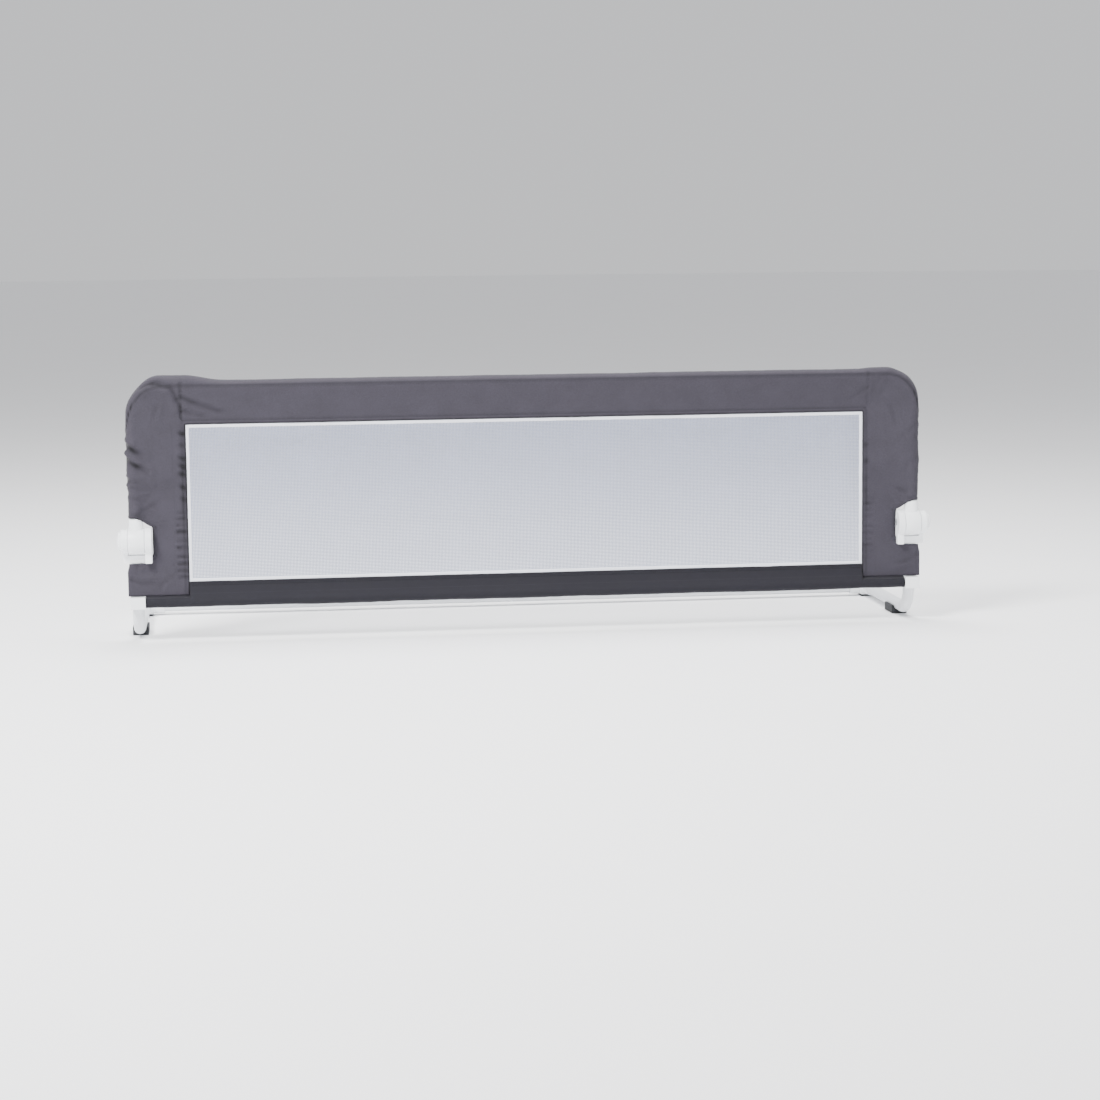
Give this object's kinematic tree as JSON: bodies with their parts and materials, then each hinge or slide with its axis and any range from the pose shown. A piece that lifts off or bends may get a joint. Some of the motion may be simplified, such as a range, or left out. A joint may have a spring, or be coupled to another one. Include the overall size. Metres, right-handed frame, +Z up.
{
  "type": "folding bed guard rail",
  "caption": "Folding bed guard rail: bent steel tube frame, cloth cover with a net window, push-button hinges, and L-shaped legs that slide under a mattress.",
  "frame": {"origin": "middle of the bounding box in plan, on the plane under the rubber feet", "axes": "+X along the rail to the right as seen from the room, -Y out of the bed towards the room, +Z up"},
  "size_m": [1.547, 0.3928, 0.4865],
  "materials": {
    "painted_steel": "white powder coat",
    "white_plastic": "moulded, fine grain",
    "grey_cloth": "woven polyester",
    "white_net": "knitted net",
    "zinc_steel": "zinc plated",
    "spring_steel": "drawn wire and strip",
    "black_rubber": "moulded, matt"
  },
  "bodies": {
    "base": {"left_hinge_fork": "white_plastic", "right_hinge_fork": "white_plastic", "left_pivot_bolt": "zinc_steel", "right_pivot_bolt": "zinc_steel", "left_pivot_washer": "zinc_steel", "right_pivot_washer": "zinc_steel", "left_pivot_nut": "zinc_steel", "right_pivot_nut": "zinc_steel", "left_fork_screw": "zinc_steel", "right_fork_screw": "zinc_steel", "left_leg_tube": "painted_steel", "right_leg_tube": "painted_steel", "left_bar_clamp": "white_plastic", "right_bar_clamp": "white_plastic", "left_clamp_screw": "zinc_steel", "right_clamp_screw": "zinc_steel", "left_rear_elbow": "white_plastic", "right_rear_elbow": "white_plastic", "left_rubber_foot": "black_rubber", "right_rubber_foot": "black_rubber", "left_leg_pad": "black_rubber", "right_leg_pad": "black_rubber", "left_front_bar": "painted_steel", "right_front_bar": "painted_steel", "left_rear_tube": "painted_steel", "right_rear_tube": "painted_steel", "rear_snap_leaf": "spring_steel", "left_cover_column_lower": "grey_cloth", "right_cover_column_lower": "grey_cloth", "cover_bottom_band": "grey_cloth", "net_lower": "white_net"},
    "upper_frame": {"left_corner_tube": "painted_steel", "right_corner_tube": "painted_steel", "top_tube": "painted_steel", "left_hinge_hub": "white_plastic", "right_hinge_hub": "white_plastic", "left_hub_screw": "zinc_steel", "right_hub_screw": "zinc_steel", "left_lock_spring": "spring_steel", "right_lock_spring": "spring_steel", "left_top_snap_leaf": "spring_steel", "right_top_snap_leaf": "spring_steel", "cover_top_band": "grey_cloth", "left_cover_column_upper": "grey_cloth", "right_cover_column_upper": "grey_cloth", "net_upper": "white_net"},
    "left_release": {"left_release_button": "white_plastic", "left_lock_gear": "white_plastic"},
    "right_release": {"right_release_button": "white_plastic", "right_lock_gear": "white_plastic"},
    "left_top_snap": {"left_top_snap_button": "zinc_steel"},
    "right_top_snap": {"right_top_snap_button": "zinc_steel"},
    "rear_snap": {"rear_snap_button": "zinc_steel"}
  },
  "joints": [
    {"name": "fold", "type": "hinge", "parent": "base", "child": "upper_frame", "pos_m": [0, -0.1715, 0.19], "axis": [1, 0, 0], "range_deg": [0, 150]},
    {"name": "left_release_push", "type": "slide", "parent": "base", "child": "left_release", "axis": [1, 0, 0], "range_m": [0, 0.0065], "stiffness_N_per_m": 1500, "deforming": ["left_lock_spring"]},
    {"name": "right_release_push", "type": "slide", "parent": "base", "child": "right_release", "axis": [-1, 0, 0], "range_m": [0, 0.0065], "stiffness_N_per_m": 1500, "deforming": ["right_lock_spring"]},
    {"name": "left_top_snap_push", "type": "slide", "parent": "upper_frame", "child": "left_top_snap", "axis": [0, -1, 0], "range_m": [0, 0.0026], "stiffness_N_per_m": 800, "deforming": ["left_top_snap_leaf"]},
    {"name": "right_top_snap_push", "type": "slide", "parent": "upper_frame", "child": "right_top_snap", "axis": [0, -1, 0], "range_m": [0, 0.0026], "stiffness_N_per_m": 800, "deforming": ["right_top_snap_leaf"]},
    {"name": "rear_snap_push", "type": "slide", "parent": "base", "child": "rear_snap", "axis": [0, 0, -1], "range_m": [0, 0.0026], "stiffness_N_per_m": 800, "deforming": ["rear_snap_leaf"]}
  ]
}
